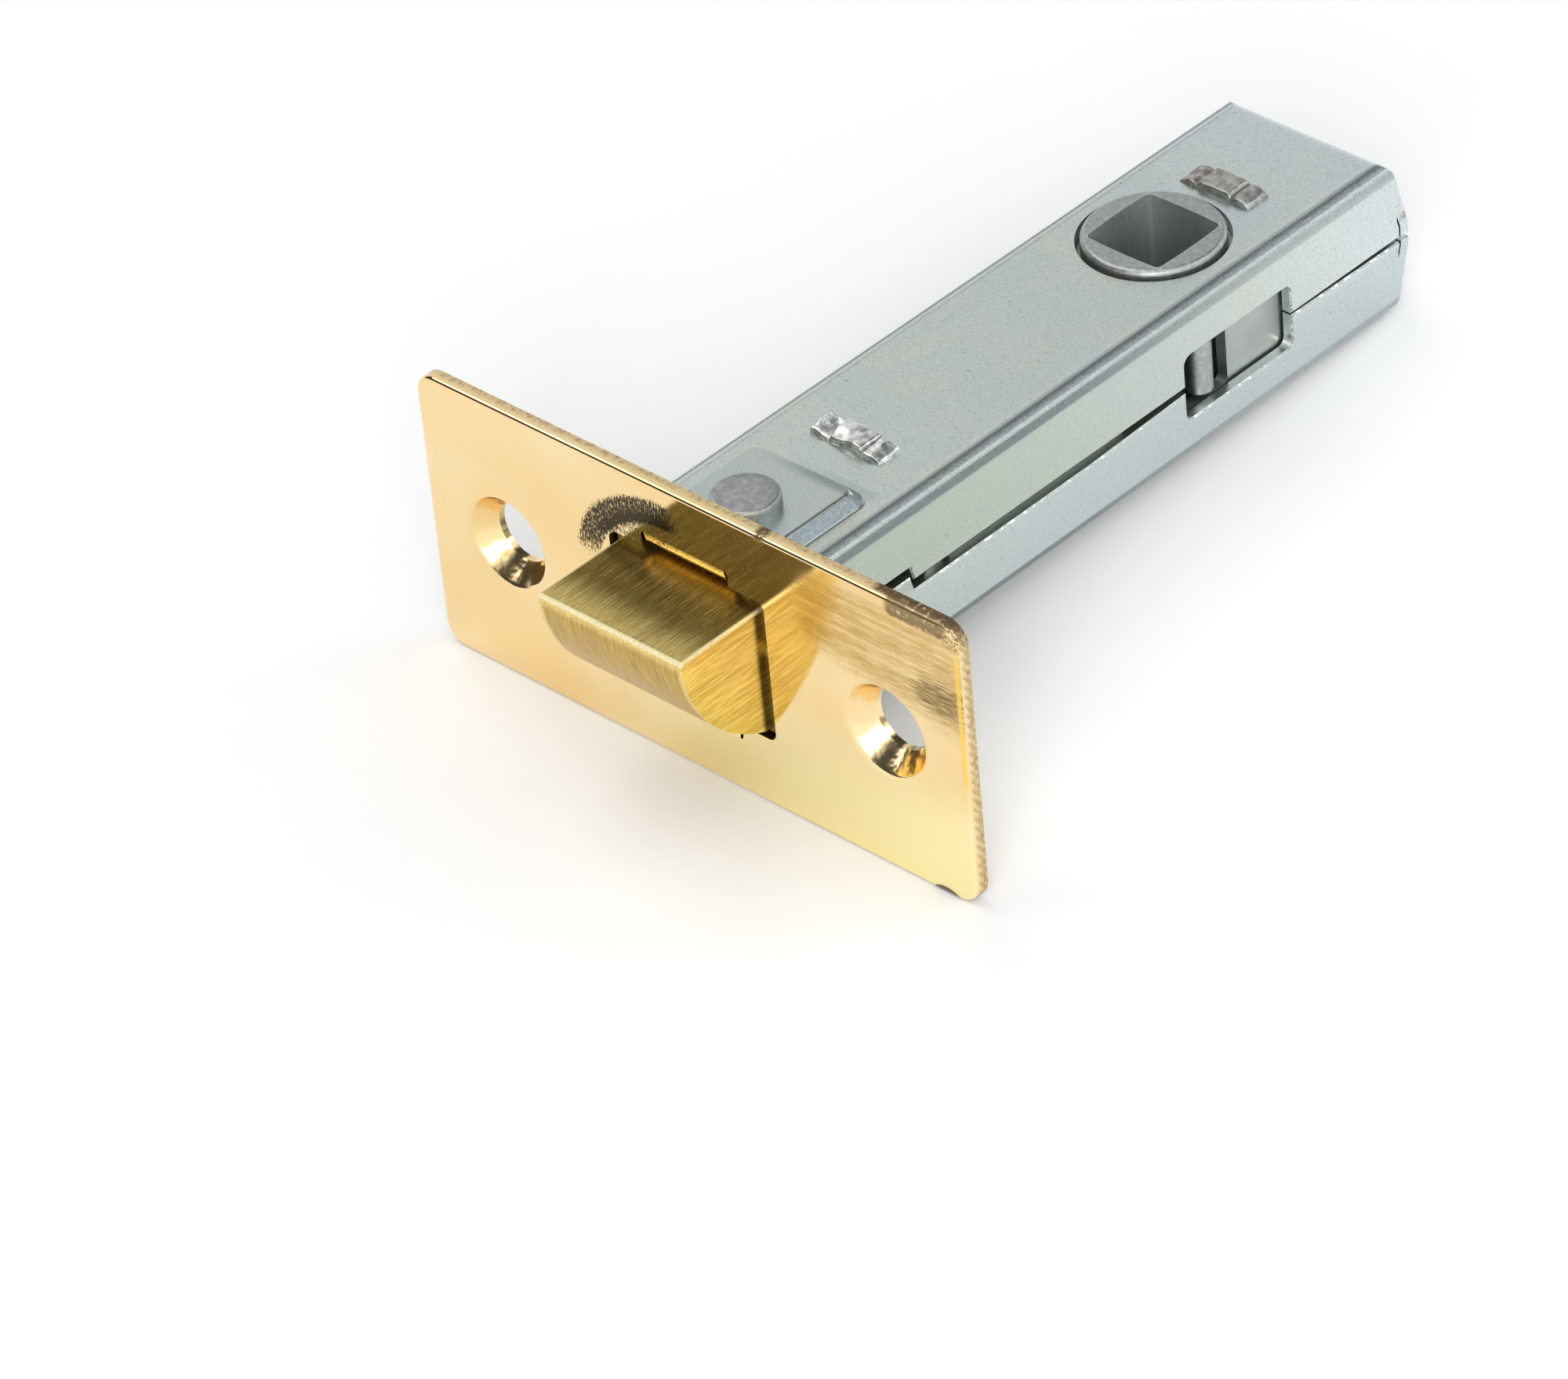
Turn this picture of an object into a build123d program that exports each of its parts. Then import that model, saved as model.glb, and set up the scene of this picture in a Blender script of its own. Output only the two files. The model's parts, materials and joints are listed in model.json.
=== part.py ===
from build123d import *
import math
import os

# Tubular door latch, in millimetres. The origin is the centre of the forend's front face.
# +X runs along the forend, +Y runs back into the door along the case, +Z is up.

os.makedirs("parts", exist_ok=True)

# Forend plate
FOREND_LENGTH = 59.5
FOREND_WIDTH = 27.2
FOREND_THICKNESS = 1.3
FOREND_CORNER = 2.0
FOREND_EDGE_ROLL = 0.3

# Dished screw holes in the forend
SCREW_SPACING = 42.0
SCREW_HOLE_RADIUS = 2.8
DISH_RADIUS = 4.3
DISH_DEPTH = 2.0
DISH_LAND = 0.6
DISH_LIP_ROLL = 0.6
DISH_WALL = 1.1

# Bolt, at rest with its nose out of the forend
BOLT_WIDTH = 15.8
BOLT_THROW = 8.9
NOSE_LAND = 1.5
BEVEL_BULGE = 2.0
BEVEL_FOOT = 0.3
BOLT_REAR_GAP = 1.1
BOLT_EDGE_ROLL = 0.25

# Clearances of moving pieces
SLIDING_GAP = 0.25
OPENING_SIDE_GAP = 0.65
OPENING_TOP_GAP = 0.9
EAR_GAP = 0.3
OPENING_CORNER = 0.8

# Ears bent back from the forend, above and below the bolt
EAR_WIDTH = 8.8
EAR_RELIEF = 0.35
EAR_REAR = 13.0
EAR_BEND_RADIUS = 2.05
EAR_TIP_ROLL = 2.0

# Case, folded from sheet as two half shells
SHEET = 1.0
CASE_REAR = 78.8
CASE_HEIGHT = 15.0
CASE_WIDTH = BOLT_WIDTH + 2 * (SLIDING_GAP + SHEET)
SIDE_BEND = 1.5
END_BEND = 1.4
END_LEAN = 1.8
END_SLOT = 0.2
SEAM_TOP = -0.15
SEAM_GAP = 0.95
SEAM_GAP_AT_WINDOW = 0.2
SEAM_GAP_AT_REAR = 0.45
SEAM_TAPER_FRONT = 38.0
CUT_EDGE_BREAK = 0.15
TAB_RISE = 1.4
TAB_REAR = 16.1
TAB_SLOPE = 0.4

# Raised pad over each ear
PAD_RISE = 1.1
PAD_FOOT_WIDTH = 13.0
PAD_FOOT_REAR = 15.1
PAD_CORNER = 1.6
PAD_DRAFT = 1.0
PAD_ROLL = 0.5
PAD_FOOT_ROLL = 0.4

# Rivets through pad and ear
RIVET_Y = 7.35
RIVET_HEAD_RADIUS = 2.95
RIVET_HEAD_HEIGHT = 1.3
RIVET_FLAT_ROLL = 0.35
RIVET_SHANK_RADIUS = 1.6
RIVET_TAIL_RADIUS = 2.3
RIVET_TAIL_DEPTH = 0.7

# Flat posts staked through both shells
POST_THICKNESS = 2.0
TENON_WIDTH = 7.0
STAKE_HEIGHT = 0.8
STAKE_SPREAD = 0.3
STAKE_SIDE_DROP = 0.25
STAKE_MIDDLE_WIDTH = 3.6
FRONT_POST_Y = 20.2
FRONT_POST_SIDE_GAP = 0.45
REAR_POST_GAP = 0.6

# Hub, turned by the spindle
BACKSET = 57.0
SPINDLE_SQUARE = 8.0
SQUARE_BOW = 0.12
SQUARE_CORNER = 0.5
HUB_RADIUS = 6.2
HUB_PROUD = 0.65
HUB_HOLE_GAP = 0.45
HUB_EDGE_ROLL = 0.45
HUB_FLANGE_RADIUS = 7.4
HUB_FLANGE_GAP = 0.2
HUB_ARM_GAP = 0.3

# Pegs on the hub's two horns
PEG_RADIUS = 1.2
PEG_REACH = 7.9
PEG_ANGLE = 24.3
PEG_TOP = 2.1
PEG_BOTTOM = -3.3
PEG_CHAMFER = 0.4
HORN_WIDTH = 2.2

# Window in each side of the case, where the pegs pass
WINDOW_BEFORE_HUB = 7.0
WINDOW_BEHIND_HUB = 6.5
WINDOW_TOP = 2.75
WINDOW_BOTTOM = -3.5
WINDOW_CORNER = 0.8

# Arms that the pegs pull back
ARM_THICKNESS = 1.1
ARM_TOP = 4.6
ARM_BOTTOM = -5.2
ARM_BEHIND_HUB = 9.0
ARM_SLOT_MARGIN = 0.35
ARM_SLOT_CORNER = 0.6
PEG_FREE_PLAY = 1.55
SLAM_GAP = 0.45
ARM_CORNER = 2.0

# Tail screwed into the bolt, with a cross block for the arms
TAIL_RADIUS = 2.4
TAIL_GAP = 0.3
TAIL_SEAT = 4.5
TAIL_OVERLAP = 1.0
BLOCK_LENGTH = 7.0
BLOCK_HEIGHT = 7.0
STOP_GAP = 0.3
PIN_RADIUS = 1.5
ARM_FRONT_MARGIN = 0.35

# Coil spring on the tail, inside a bore of the bolt, with its round wire drawn eight-sided
BORE_RADIUS = 4.7
BORE_FRONT = 0.5
SPRING_MEAN_RADIUS = 3.6
WIRE_RADIUS = 0.5
WIRE_SIDES = 8
SPRING_TURNS = 6
SPRING_SEAT = 0.3
WASHER_THICKNESS = 0.8
WASHER_RADIUS = 4.5

# How far a cut runs past the face it leaves, and how near two lengths count as the same
OVERSHOOT = 1.0
SAME_PLACE = 0.01

# Places worked out from the values above
BOLT_HEIGHT = CASE_HEIGHT + 2 * (PAD_RISE - SHEET - FOREND_THICKNESS - EAR_GAP)
BOLT_TOP = BOLT_HEIGHT / 2
NOSE_Y = -BOLT_THROW
CASE_TOP = CASE_HEIGHT / 2
CASE_SIDE = CASE_WIDTH / 2
INSIDE_TOP = CASE_TOP - SHEET
INSIDE_SIDE = CASE_SIDE - SHEET
EAR_INNER = BOLT_TOP + EAR_GAP
EAR_OUTER = EAR_INNER + FOREND_THICKNESS
EAR_BEND_Z = EAR_INNER + EAR_BEND_RADIUS
PAD_TOP = CASE_TOP + PAD_RISE
HUB_TOP = CASE_TOP + HUB_PROUD
ARM_OUTER = INSIDE_SIDE - SLIDING_GAP
ARM_INNER = ARM_OUTER - ARM_THICKNESS
BLOCK_FRONT = FRONT_POST_Y + POST_THICKNESS / 2 + STOP_GAP
PIN_Y = BLOCK_FRONT + BLOCK_LENGTH / 2
WASHER_FRONT = FRONT_POST_Y - POST_THICKNESS / 2 - WASHER_THICKNESS
BOLT_REAR = WASHER_FRONT - BOLT_THROW - BOLT_REAR_GAP
TAIL_FRONT = BORE_FRONT - TAIL_SEAT
FRONT_POST_WIDTH = 2 * (INSIDE_SIDE - FRONT_POST_SIDE_GAP)
REAR_POST_WIDTH = 2 * (ARM_INNER - REAR_POST_GAP)
REAR_POST_Y = BACKSET + HUB_FLANGE_RADIUS + REAR_POST_GAP + POST_THICKNESS / 2
WINDOW_FRONT = BACKSET - WINDOW_BEFORE_HUB
WINDOW_REAR = BACKSET + WINDOW_BEHIND_HUB
PEG_Y = BACKSET - PEG_REACH * math.sin(math.radians(PEG_ANGLE))
ARM_FRONT = BLOCK_FRONT + ARM_FRONT_MARGIN
ARM_REAR = BACKSET + ARM_BEHIND_HUB
ARM_SLOT_REAR = PEG_Y + PEG_RADIUS + PEG_FREE_PLAY
ARM_SLOT_FRONT = PEG_Y - PEG_RADIUS - BOLT_THROW - SLAM_GAP


def along_y(profile, front, rear):
    """Extrude a profile of X and Z from front to rear."""
    return Pos(0, front, 0) * extrude(Plane.XZ * profile, -(rear - front))


def along_x(profile, half_width):
    """Extrude a profile of Y and Z evenly to both sides of the middle."""
    return extrude(Plane.YZ * profile, half_width, both=True)


def block(x_range, y_range, z_range):
    """Make a box from its lowest and highest X, Y and Z."""
    size = [high - low for low, high in (x_range, y_range, z_range)]
    middle = [(high + low) / 2 for low, high in (x_range, y_range, z_range)]
    return Pos(*middle) * Box(*size)


def post_z(radius, bottom, top):
    """Make a round bar that stands between two heights."""
    return Pos(0, 0, (bottom + top) / 2) * Cylinder(radius, top - bottom)


def bar_y(radius, front, rear):
    """Make a round bar that lies along Y."""
    return Pos(0, (front + rear) / 2, 0) * Rot(90, 0, 0) * Cylinder(radius, rear - front)


def upside_down(shape):
    """Mirror a shape from above the bolt to below it."""
    return mirror(shape, about=Plane.XY)


def forend_ear():
    """Make the ear that is bent back over the bolt, with its bend."""
    bend_y = EAR_BEND_RADIUS
    inner_radius = EAR_BEND_RADIUS - FOREND_THICKNESS
    diagonal = math.cos(math.radians(45))
    with BuildLine() as line:
        Line((0, EAR_BEND_Z), (FOREND_THICKNESS, EAR_BEND_Z))
        ThreePointArc(
            (FOREND_THICKNESS, EAR_BEND_Z),
            (bend_y - inner_radius * diagonal, EAR_BEND_Z - inner_radius * diagonal),
            (bend_y, EAR_OUTER),
        )
        Line((bend_y, EAR_OUTER), (EAR_REAR, EAR_OUTER))
        Line((EAR_REAR, EAR_OUTER), (EAR_REAR, EAR_INNER))
        Line((EAR_REAR, EAR_INNER), (bend_y, EAR_INNER))
        ThreePointArc(
            (bend_y, EAR_INNER),
            (bend_y - EAR_BEND_RADIUS * diagonal, EAR_BEND_Z - EAR_BEND_RADIUS * diagonal),
            (0, EAR_BEND_Z),
        )
    ear = along_x(make_face(line.line), EAR_WIDTH / 2)
    tip = ear.edges().filter_by(Axis.Z).group_by(Axis.Y)[-1]
    ear = fillet(tip, EAR_TIP_ROLL)
    return ear - rivet_hole()


def rivet_hole():
    """Make the hole that the rivet's shank and flush tail fill."""
    shank = post_z(RIVET_SHANK_RADIUS, EAR_INNER, PAD_TOP)
    tail = Cone(RIVET_TAIL_RADIUS, RIVET_SHANK_RADIUS, RIVET_TAIL_DEPTH)
    tail = Pos(0, 0, EAR_INNER + RIVET_TAIL_DEPTH / 2) * tail
    return Pos(0, RIVET_Y, 0) * (shank + tail)


def screw_dish(wall):
    """Make the cone and land of a dished hole, wider by the wall's thickness."""
    cone = Cone(SCREW_HOLE_RADIUS + wall, DISH_RADIUS + wall, DISH_DEPTH)
    cone = Pos(0, DISH_DEPTH / 2, 0) * Rot(90, 0, 0) * cone
    return cone + bar_y(SCREW_HOLE_RADIUS + wall, DISH_DEPTH, DISH_DEPTH + DISH_LAND)


def forend_plate():
    """Make the plate, its dished holes and its two ears as one pressing."""
    outline = RectangleRounded(FOREND_LENGTH, FOREND_WIDTH, FOREND_CORNER)
    plate = along_y(outline, 0, FOREND_THICKNESS)
    plate = fillet(plate.faces().sort_by(Axis.Y)[0].edges(), FOREND_EDGE_ROLL)
    opening = RectangleRounded(
        BOLT_WIDTH + 2 * OPENING_SIDE_GAP, BOLT_HEIGHT + 2 * OPENING_TOP_GAP, OPENING_CORNER
    )
    notch = RectangleRounded(EAR_WIDTH + 2 * EAR_RELIEF, 2 * EAR_BEND_Z, EAR_RELIEF)
    plate -= along_y(opening + notch, -OVERSHOOT, FOREND_THICKNESS + OVERSHOOT)
    dimple = screw_dish(DISH_WALL)
    dimple -= bar_y(2 * DISH_RADIUS, -OVERSHOOT, FOREND_THICKNESS / 2)
    for side in (-1, 1):
        place = Pos(side * SCREW_SPACING / 2, 0, 0)
        plate += place * dimple
        plate -= place * screw_dish(0)
    rounds = plate.edges().filter_by(GeomType.CIRCLE)
    lips = rounds.filter_by(lambda edge: abs(edge.radius - DISH_RADIUS) < SAME_PLACE)
    plate = fillet(lips, DISH_LIP_ROLL)
    ear = forend_ear()
    return plate + ear + upside_down(ear)


def end_profile(inset):
    """Make the case's side view, with rounded rear corners, inset by a distance."""
    top = CASE_TOP - inset
    rear = CASE_REAR - inset
    front = FOREND_THICKNESS - inset
    corner = rear - END_LEAN
    profile = Polygon(
        (front, -top),
        (corner, -top),
        (rear, -SEAM_GAP),
        (rear, SEAM_GAP),
        (corner, top),
        (front, top),
        align=None,
    )
    behind_front = profile.vertices().group_by(Axis.X)[1:]
    return fillet(behind_front[0], END_BEND - inset)


def case_body(inset):
    """Make the whole case as a solid, inset by a distance."""
    width = 2 * (CASE_SIDE - inset)
    height = 2 * (CASE_TOP - inset)
    section = RectangleRounded(width, height, SIDE_BEND - inset)
    body = along_y(section, FOREND_THICKNESS - inset, CASE_REAR)
    return body & along_x(end_profile(inset), CASE_SIDE)


def pad_body(inset, roll):
    """Make the raised pad as a solid with sloping sides, inset by a distance, its crown rolled."""
    slope = math.atan2(PAD_RISE, PAD_DRAFT)
    slide = inset * math.tan(slope / 2)
    base_z = CASE_TOP - inset
    half_foot = PAD_FOOT_WIDTH / 2 - slide
    foot_rear = PAD_FOOT_REAR - slide
    half_crown = half_foot - PAD_DRAFT
    crown_rear = foot_rear - PAD_DRAFT
    front = -PAD_CORNER
    foot = Pos(0, (front + foot_rear) / 2, base_z) * RectangleRounded(
        2 * half_foot, foot_rear - front, PAD_CORNER
    )
    crown = Pos(0, (front + crown_rear) / 2, base_z + PAD_RISE) * RectangleRounded(
        2 * half_crown, crown_rear - front, PAD_CORNER - PAD_ROLL
    )
    pad = loft([foot, crown])
    if roll:
        pad = fillet(pad.faces().sort_by(Axis.Z)[-1].edges(), roll)
    return pad


def pad_foot_edges(shell):
    """Find the edges where the pad's slopes meet the case's flat top."""
    half_width = PAD_FOOT_WIDTH / 2 + SAME_PLACE
    level = shell.edges().filter_by_position(Axis.Z, CASE_TOP - SAME_PLACE, CASE_TOP + SAME_PLACE)
    beside = level.filter_by_position(Axis.X, -half_width, half_width)
    return beside.filter_by_position(Axis.Y, 0, PAD_FOOT_REAR + SAME_PLACE)


def seam_side(front_z, window_z, rear_z, far_z):
    """Make the side view of all that lies from a stepped seam edge to a height beyond the case."""
    return Polygon(
        (0, front_z + TAB_RISE),
        (TAB_REAR, front_z + TAB_RISE),
        (TAB_REAR + TAB_SLOPE, front_z),
        (SEAM_TAPER_FRONT, front_z),
        (WINDOW_REAR, window_z),
        (CASE_REAR, rear_z),
        (CASE_REAR, far_z),
        (0, far_z),
        align=None,
    )


def window_cut():
    """Make the cut for the window through both sides of the case."""
    length = WINDOW_REAR - WINDOW_FRONT
    height = WINDOW_TOP - WINDOW_BOTTOM
    outline = RectangleRounded(length, height, WINDOW_CORNER)
    place = Pos((WINDOW_REAR + WINDOW_FRONT) / 2, (WINDOW_TOP + WINDOW_BOTTOM) / 2)
    return along_x(place * outline, CASE_SIDE + OVERSHOOT)


def end_slots():
    """Make the thin gaps between each side wall and the end flange folded over it."""
    sheet_line = along_x(end_profile(SHEET), CASE_SIDE + OVERSHOOT)
    gap_line = along_x(end_profile(SHEET + END_SLOT), CASE_SIDE + 2 * OVERSHOOT)
    half_height = CASE_TOP - SIDE_BEND
    band = sheet_line - gap_line
    cuts = []
    for side in (-1, 1):
        low, high = sorted((side * (INSIDE_SIDE - END_SLOT), side * (CASE_SIDE + OVERSHOOT)))
        zone = block((low, high), (CASE_REAR - END_BEND, CASE_REAR), (-half_height, half_height))
        cuts.append(band & zone)
    return cuts


def bare_shell():
    """Make the folded case before it is split into halves, with holes in its top."""
    behind_forend = block((-CASE_SIDE, CASE_SIDE), (FOREND_THICKNESS, FRONT_POST_Y), (0, CASE_HEIGHT))
    shell = case_body(0) + (pad_body(0, PAD_ROLL) & behind_forend)
    shell = fillet(pad_foot_edges(shell), PAD_FOOT_ROLL)
    shell -= case_body(SHEET)
    shell -= pad_body(SHEET, 0)
    for cut in end_slots():
        shell -= cut
    shell -= Pos(0, BACKSET, 0) * post_z(HUB_RADIUS + HUB_HOLE_GAP, -CASE_HEIGHT, CASE_HEIGHT)
    for place_y in (FRONT_POST_Y, REAR_POST_Y):
        shell -= Pos(0, place_y, 0) * Box(TENON_WIDTH, POST_THICKNESS, 2 * CASE_HEIGHT)
    shell -= Pos(0, RIVET_Y, 0) * post_z(RIVET_SHANK_RADIUS, 0, 2 * CASE_HEIGHT)
    half_relief = EAR_WIDTH / 2 + EAR_RELIEF
    shell -= block((-half_relief, half_relief), (0, EAR_BEND_RADIUS + EAR_RELIEF), (0, CASE_HEIGHT))
    return shell


def cut_edges(shell):
    """Find the outer edges of a half shell that run along the seam and around the window."""
    outer = shell.edges().filter_by_position(Axis.X, CASE_SIDE - SAME_PLACE, CASE_SIDE + SAME_PLACE)
    outer += shell.edges().filter_by_position(Axis.X, -CASE_SIDE - SAME_PLACE, -CASE_SIDE + SAME_PLACE)
    outer = outer.filter_by_position(Axis.Y, FOREND_THICKNESS + SAME_PLACE, CASE_REAR - 2 * END_BEND)
    return outer.filter_by_position(Axis.Z, WINDOW_BOTTOM - SAME_PLACE, WINDOW_TOP + SAME_PLACE)


def upper_shell():
    """Keep the part of the case above the seam, with the sharp cut edges broken."""
    above = along_x(seam_side(SEAM_TOP, SEAM_TOP, SEAM_TOP, CASE_HEIGHT), CASE_WIDTH)
    shell = (bare_shell() & above) - window_cut()
    return chamfer(cut_edges(shell), CUT_EDGE_BREAK)


def lower_shell():
    """Keep the part of the case below the seam's gap, with the sharp cut edges broken."""
    front_z = SEAM_TOP - SEAM_GAP
    window_z = SEAM_TOP - SEAM_GAP_AT_WINDOW
    rear_z = SEAM_TOP - SEAM_GAP_AT_REAR
    below = along_x(seam_side(front_z, window_z, rear_z, -CASE_HEIGHT), CASE_WIDTH)
    shell = (upside_down(bare_shell()) & below) - window_cut()
    return chamfer(cut_edges(shell), CUT_EDGE_BREAK)


def rivet():
    """Make the flat-headed rivet that holds the case to an ear."""
    head = post_z(RIVET_HEAD_RADIUS, PAD_TOP, PAD_TOP + RIVET_HEAD_HEIGHT)
    head = fillet(head.edges().group_by(Axis.Z)[-1], RIVET_FLAT_ROLL)
    return Pos(0, RIVET_Y, 0) * head + rivet_hole()


def stake_lobe(place_x, width, depth, height):
    """Make one peened lobe with rounded top edges, standing on the case."""
    lobe = Pos(place_x, 0, CASE_TOP + height / 2) * Box(width, depth, height)
    return fillet(lobe.edges().group_by(Axis.Z)[-1], STAKE_SIDE_DROP)


def stake_head():
    """Make the three peened lobes on the end of a post's tenon."""
    width = TENON_WIDTH + 2 * STAKE_SPREAD
    depth = POST_THICKNESS + 2 * STAKE_SPREAD
    low = STAKE_HEIGHT - STAKE_SIDE_DROP
    side_width = (width - STAKE_MIDDLE_WIDTH) / 2
    side_x = (STAKE_MIDDLE_WIDTH + side_width) / 2
    head = stake_lobe(0, STAKE_MIDDLE_WIDTH, depth, STAKE_HEIGHT)
    for side in (-1, 1):
        head += stake_lobe(side * side_x, side_width, depth, low)
    return head


def staked_post(width):
    """Make a flat post that ties both shells together."""
    post = Box(width, POST_THICKNESS, 2 * INSIDE_TOP)
    post += Box(TENON_WIDTH, POST_THICKNESS, 2 * CASE_TOP)
    head = stake_head()
    return post + head + upside_down(head)


def front_post():
    """Make the post behind the bolt, with a hole that guides the tail."""
    post = Pos(0, FRONT_POST_Y, 0) * staked_post(FRONT_POST_WIDTH)
    front = FRONT_POST_Y - POST_THICKNESS
    rear = FRONT_POST_Y + POST_THICKNESS
    return post - bar_y(TAIL_RADIUS + TAIL_GAP, front, rear)


def rear_post():
    """Make the post behind the hub."""
    return Pos(0, REAR_POST_Y, 0) * staked_post(REAR_POST_WIDTH)


def bolt():
    """Make the bolt with its curved bevel and the bore for its spring."""
    land_z = BOLT_TOP - NOSE_LAND
    with BuildLine() as line:
        Line((NOSE_Y, land_z), (NOSE_Y, BOLT_TOP))
        Line((NOSE_Y, BOLT_TOP), (BOLT_REAR, BOLT_TOP))
        Line((BOLT_REAR, BOLT_TOP), (BOLT_REAR, -BOLT_TOP))
        Line((BOLT_REAR, -BOLT_TOP), (BEVEL_FOOT, -BOLT_TOP))
        SagittaArc((BEVEL_FOOT, -BOLT_TOP), (NOSE_Y, land_z), BEVEL_BULGE)
    body = along_x(make_face(line.line), BOLT_WIDTH / 2)
    long_edges = body.edges().filter_by(Axis.Y)
    body = fillet(long_edges, BOLT_EDGE_ROLL)
    body -= bar_y(BORE_RADIUS, BORE_FRONT, BOLT_REAR + OVERSHOOT)
    return body - bar_y(TAIL_RADIUS, TAIL_FRONT, BORE_FRONT + OVERSHOOT)


def bolt_tail():
    """Make the steel tail with its cross block."""
    rod = bar_y(TAIL_RADIUS, TAIL_FRONT, BLOCK_FRONT + TAIL_OVERLAP)
    half_height = BLOCK_HEIGHT / 2
    cross = block(
        (-ARM_INNER, ARM_INNER),
        (BLOCK_FRONT, BLOCK_FRONT + BLOCK_LENGTH),
        (-half_height, half_height),
    )
    return rod + cross - arm_pin_bar(ARM_INNER)


def arm_pin_bar(half_length):
    """Make a round bar across the tail block."""
    return Pos(0, PIN_Y, 0) * Rot(0, 90, 0) * Cylinder(PIN_RADIUS, 2 * half_length)


def arm_pin():
    """Make the pin through both arms and the tail block."""
    return arm_pin_bar(ARM_OUTER)


def arm(side):
    """Make one pull arm, with the slot that the hub's peg works in."""
    middle_z = (ARM_TOP + ARM_BOTTOM) / 2
    outline = Pos((ARM_FRONT + ARM_REAR) / 2, middle_z) * RectangleRounded(
        ARM_REAR - ARM_FRONT, ARM_TOP - ARM_BOTTOM, ARM_CORNER
    )
    slot_top = PEG_TOP + ARM_SLOT_MARGIN
    slot_bottom = PEG_BOTTOM - ARM_SLOT_MARGIN
    slot = Pos((ARM_SLOT_FRONT + ARM_SLOT_REAR) / 2, (slot_top + slot_bottom) / 2) * RectangleRounded(
        ARM_SLOT_REAR - ARM_SLOT_FRONT, slot_top - slot_bottom, ARM_SLOT_CORNER
    )
    plate = extrude(Plane.YZ * (outline - slot), ARM_THICKNESS)
    place_x = ARM_INNER if side > 0 else -ARM_OUTER
    return Pos(place_x, 0, 0) * plate - arm_pin_bar(CASE_SIDE)


def spindle_hole():
    """Make the square hole, its sides bowed a little outward."""
    half = SPINDLE_SQUARE / 2
    corners = [(half, half), (-half, half), (-half, -half), (half, -half)]
    bulge = half + SQUARE_BOW
    middles = [(0, bulge), (-bulge, 0), (0, -bulge), (bulge, 0)]
    with BuildLine() as line:
        for index, middle in enumerate(middles):
            ThreePointArc(corners[index], middle, corners[(index + 1) % len(corners)])
    outline = make_face(line.line)
    outline = fillet(outline.vertices(), SQUARE_CORNER)
    return Pos(0, 0, -2 * CASE_HEIGHT) * extrude(outline, 4 * CASE_HEIGHT)


def hub():
    """Make the hub: a barrel with two flanges and two horns that end in pegs."""
    barrel = post_z(HUB_RADIUS, -HUB_TOP, HUB_TOP)
    rims = barrel.edges().filter_by(GeomType.CIRCLE)
    barrel = fillet(rims, HUB_EDGE_ROLL)
    flange_face = INSIDE_TOP - HUB_FLANGE_GAP
    barrel += post_z(HUB_FLANGE_RADIUS, ARM_TOP + HUB_ARM_GAP, flange_face)
    barrel += post_z(HUB_FLANGE_RADIUS, -flange_face, ARM_BOTTOM - HUB_ARM_GAP)
    peg = Cylinder(PEG_RADIUS, PEG_TOP - PEG_BOTTOM)
    peg = chamfer(peg.edges().filter_by(GeomType.CIRCLE), PEG_CHAMFER)
    horn = Pos(PEG_REACH / 2, 0, 0) * Box(PEG_REACH, HORN_WIDTH, PEG_TOP - PEG_BOTTOM - 2 * PEG_CHAMFER)
    horn += Pos(PEG_REACH, 0, 0) * peg
    horn = Pos(0, 0, (PEG_TOP + PEG_BOTTOM) / 2) * Rot(0, 0, -PEG_ANGLE) * horn
    shape = barrel + horn + mirror(horn, about=Plane.YZ)
    return Pos(0, BACKSET, 0) * (shape - spindle_hole())


def bolt_spring():
    """Make the coil spring between the bolt and the front post."""
    front = BORE_FRONT + SPRING_SEAT + WIRE_RADIUS
    rear = WASHER_FRONT - SPRING_SEAT - WIRE_RADIUS
    length = rear - front
    path = Helix(length / SPRING_TURNS, length, SPRING_MEAN_RADIUS)
    start = Plane(path @ 0, z_dir=path % 0)
    coil = sweep(start * RegularPolygon(WIRE_RADIUS, WIRE_SIDES, major_radius=False), path)
    return Pos(0, front, 0) * Rot(-90, 0, 0) * coil


def spring_washer():
    """Make the washer that carries the spring on the front post."""
    rear = WASHER_FRONT + WASHER_THICKNESS
    return bar_y(WASHER_RADIUS, WASHER_FRONT, rear) - bar_y(TAIL_RADIUS + TAIL_GAP, 0, rear + OVERSHOOT)


nodes = {
    "forend_plate": forend_plate(),
    "upper_shell": upper_shell(),
    "lower_shell": lower_shell(),
    "upper_rivet": rivet(),
    "lower_rivet": upside_down(rivet()),
    "front_post": front_post(),
    "rear_post": rear_post(),
    "bolt": bolt(),
    "bolt_tail": bolt_tail(),
    "left_arm": arm(-1),
    "right_arm": arm(1),
    "arm_pin": arm_pin(),
    "bolt_spring": bolt_spring(),
    "spring_washer": spring_washer(),
    "hub": hub(),
}

for name, shape in nodes.items():
    solids = shape.solids()
    print(name, len(solids), "solid,", round(shape.volume, 2), "mm3, valid", shape.is_valid)
    export_step(solids[0] if len(solids) == 1 else shape, "parts/" + name + ".step")
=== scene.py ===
# %% [markdown]
# # A tubular door latch
# The latch is a folded steel case with a brassed forend plate at its front, a sprung brass bolt
# and a hub with a square hole. Its shape comes finished from the packed frame, so this lesson is
# mostly about finishes: zinc plate, polished brass plate, brushed brass and hammered steel.

# %% Load the frame
import json
import math

import bmesh
import bpy
from mathutils import Matrix, Vector, noise


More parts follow.
